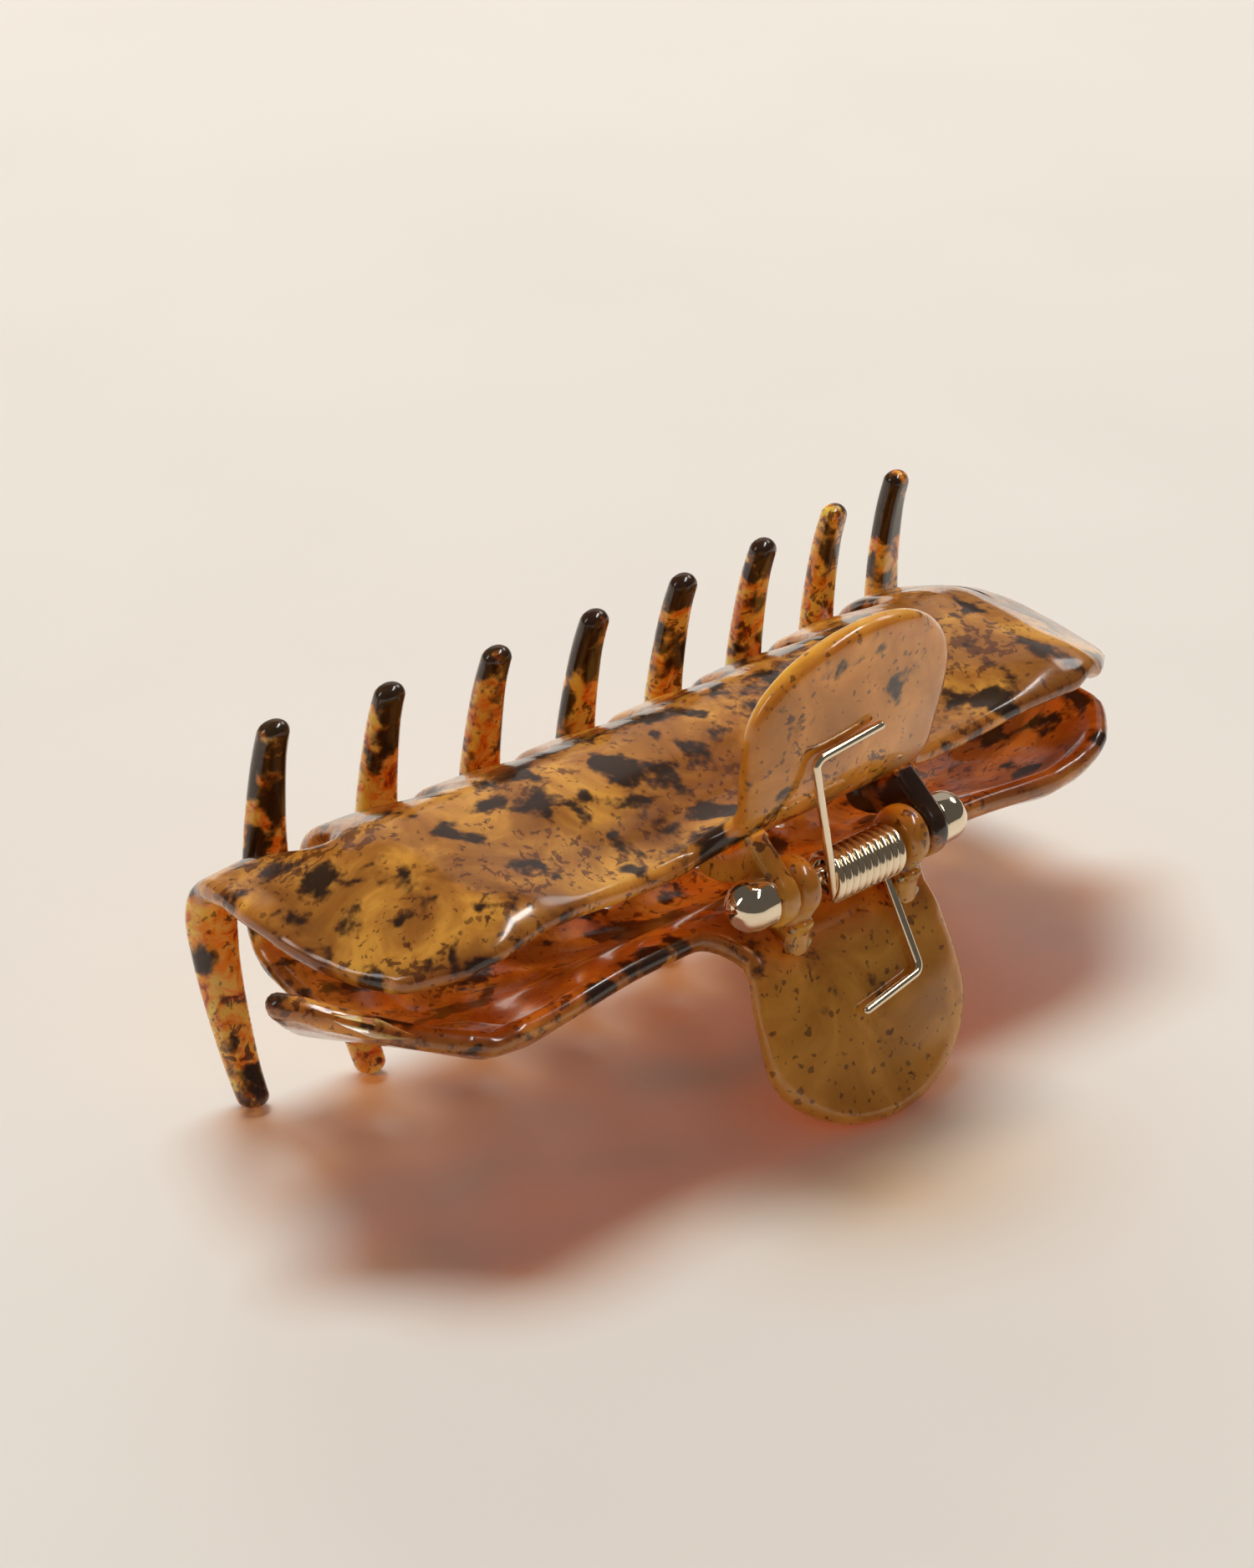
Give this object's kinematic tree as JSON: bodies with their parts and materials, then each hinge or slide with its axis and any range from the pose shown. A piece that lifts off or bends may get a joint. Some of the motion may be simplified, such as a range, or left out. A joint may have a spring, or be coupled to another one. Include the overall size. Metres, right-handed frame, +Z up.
{
  "type": "claw hair clip",
  "caption": "Spring-loaded claw hair clip with two arched interlocking toothed jaws and thumb levers on a glued-lug hinge.",
  "frame": {"origin": "below the middle of the hinge pin, on the table the closed clip lies on", "axes": "+X along the hinge pin, +Y from the hinge towards the teeth, +Z up from the table"},
  "size_m": [0.1108, 0.0492, 0.0498],
  "materials": {
    "acetate": "polished tortoiseshell acetate",
    "acetate_dark": "polished dark acetate",
    "gold_metal": "polished pale gold plating"
  },
  "bodies": {
    "lower": {"lower_jaw": "acetate", "lug_inner_left": "acetate", "lug_inner_right": "acetate", "spring_arm_lower": "gold_metal", "spring_coil": "gold_metal"},
    "upper": {"upper_jaw": "acetate", "lug_outer_left": "acetate", "lug_outer_right": "acetate_dark", "hinge_pin": "gold_metal", "cap_left": "gold_metal", "cap_right": "gold_metal", "spring_arm_upper": "gold_metal"}
  },
  "joints": [
    {"name": "claw_hinge", "type": "hinge", "parent": "lower", "child": "upper", "pos_m": [0, 0, 0.0242], "axis": [1, 0, 0], "range_deg": [0, 50], "stiffness_Nm_per_rad": 0.05, "springref_deg": -57.3}
  ]
}
